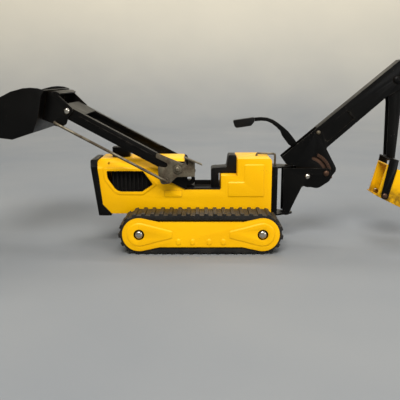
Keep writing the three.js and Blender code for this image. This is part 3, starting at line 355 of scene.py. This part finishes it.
def soften(node, radius):
    """Joins the facets of flat faces, then rounds what is left of the edges."""
    weld = node.modifiers.new("weld", "WELD")
    weld.merge_threshold = WELD
    flat = node.modifiers.new("flat", "DECIMATE")
    flat.decimate_type = "DISSOLVE"
    flat.angle_limit = FLAT_ANGLE
    bevel = node.modifiers.new("edge", "BEVEL")
    bevel.width = radius
    bevel.segments = 2
    bevel.limit_method = "ANGLE"
    bevel.angle_limit = EDGE_ANGLE
    bevel.use_clamp_overlap = True
    bevel.harden_normals = True
    for face in node.data.polygons:
        face.use_smooth = True


def dress_nodes():
    """Paints every node from its slot, the digging bucket with dirt as well, and rounds its edges."""
    finishes = make_finishes()
    low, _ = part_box("rear_bucket")
    soiled = {"rear_bucket": yellow_enamel("yellow_enamel_soiled", soil_top=low[2] + SOIL_DEPTH)}
    for name, node in NODES.items():
        slot = SLOT_OF[name]
        paint(node, soiled.get(name, finishes[slot]))
        soften(node, EDGE_RADIUS[slot] * MM)


# ---------------------------------------------------------------- studio


def paper(name):
    """Matt backdrop paper with a faint mottle, painted dark and cool grey on the floor and lighter and
    warmer up the wall, as painted light.
    """
    g = Graph(name)
    split = g.add("ShaderNodeSeparateXYZ")
    g.feed(split.inputs["Vector"], g.place)
    # Painted light: the paper gets lighter and warmer from the floor up to 0.6 m, and darker and cooler
    # lower down.
    height = g.spread(split.outputs["Z"], 0.0, 0.6)
    mottle = g.spread(g.noise(2.2, 3.0), 0.3, 0.7, 0.0, 0.12)
    amount = g.math("ADD", height, mottle)
    colour = g.blend(amount, rgb(0.186, 0.199, 0.216), rgb(0.56, 0.525, 0.44))
    g.bump(g.noise(300.0, 3.0), 0.1 * MM, 0.2)
    return g.set(Base_Color=colour, Roughness=0.95)


def sweep_profile():
    """Radius and height pairs from the middle of the floor, round the curve and up the wall."""
    steps = 16
    profile = [(0.0, 0.0)]
    for i in range(steps + 1):
        angle = math.pi / 2 * i / steps
        profile.append((
            FLOOR_RADIUS + SWEEP_RADIUS * math.sin(angle),
            SWEEP_RADIUS * (1.0 - math.cos(angle)),
        ))
    profile.append((FLOOR_RADIUS + SWEEP_RADIUS, WALL_TOP))
    return profile


def backdrop():
    """A round floor that curves up into a wall on every side, so each view has the same paper behind."""
    sheet = bmesh.new()
    rings = []
    for radius, height in sweep_profile():
        count = AROUND if radius else 1
        turns = [2 * math.pi * k / AROUND for k in range(count)]
        rings.append([
            sheet.verts.new((radius * math.cos(t), radius * math.sin(t), height)) for t in turns
        ])
    for k in range(AROUND):
        after = (k + 1) % AROUND
        sheet.faces.new((rings[0][0], rings[1][k], rings[1][after]))
        for low, high in zip(rings[1:], rings[2:]):
            sheet.faces.new((low[k], high[k], high[after], low[after]))
    for face in sheet.faces:
        face.smooth = True
    mesh = bpy.data.meshes.new("backdrop")
    sheet.to_mesh(mesh)
    sheet.free()
    paper_bowl = bpy.data.objects.new("backdrop", mesh)
    bpy.context.scene.collection.objects.link(paper_bowl)
    paper_bowl.data.materials.append(paper("backdrop_paper"))


def softbox(name, place, target, width, height, power, tint):
    """A rectangular area light that faces its target."""
    light = bpy.data.lights.new(name, "AREA")
    light.shape = "RECTANGLE"
    light.size = width
    light.size_y = height
    light.energy = power
    light.color = tint
    lamp = bpy.data.objects.new(name, light)
    bpy.context.scene.collection.objects.link(lamp)
    lamp.location = place
    lamp.rotation_euler = (Vector(target) - Vector(place)).to_track_quat("-Z", "Y").to_euler()


def studio_light():
    """A dim even room, and the softboxes."""
    world = bpy.data.worlds.new("studio")
    bpy.context.scene.world = world
    world.use_nodes = True
    background = world.node_tree.nodes["Background"]
    background.inputs["Color"].default_value = WORLD_TINT
    background.inputs["Strength"].default_value = WORLD_STRENGTH
    for name, settings in SOFTBOXES.items():
        softbox(name, *settings)


def camera():
    """Looks along +Y and a little down, from the side with the hand levers."""
    data = bpy.data.cameras.new("camera")
    data.lens = LENS_MM
    data.sensor_width = SENSOR_MM
    data.clip_start = 0.01
    eye = bpy.data.objects.new("camera", data)
    bpy.context.scene.collection.objects.link(eye)
    eye.location = (0.0, -CAMERA_DISTANCE, CAMERA_HEIGHT)
    eye.rotation_euler = (math.pi / 2 - CAMERA_PITCH, 0.0, 0.0)
    bpy.context.scene.camera = eye


def plain_colours():
    """Shows the finishes at their own strength, without a film curve."""
    bpy.context.scene.view_settings.view_transform = "Standard"


dress_nodes()
backdrop()
studio_light()
camera()
plain_colours()
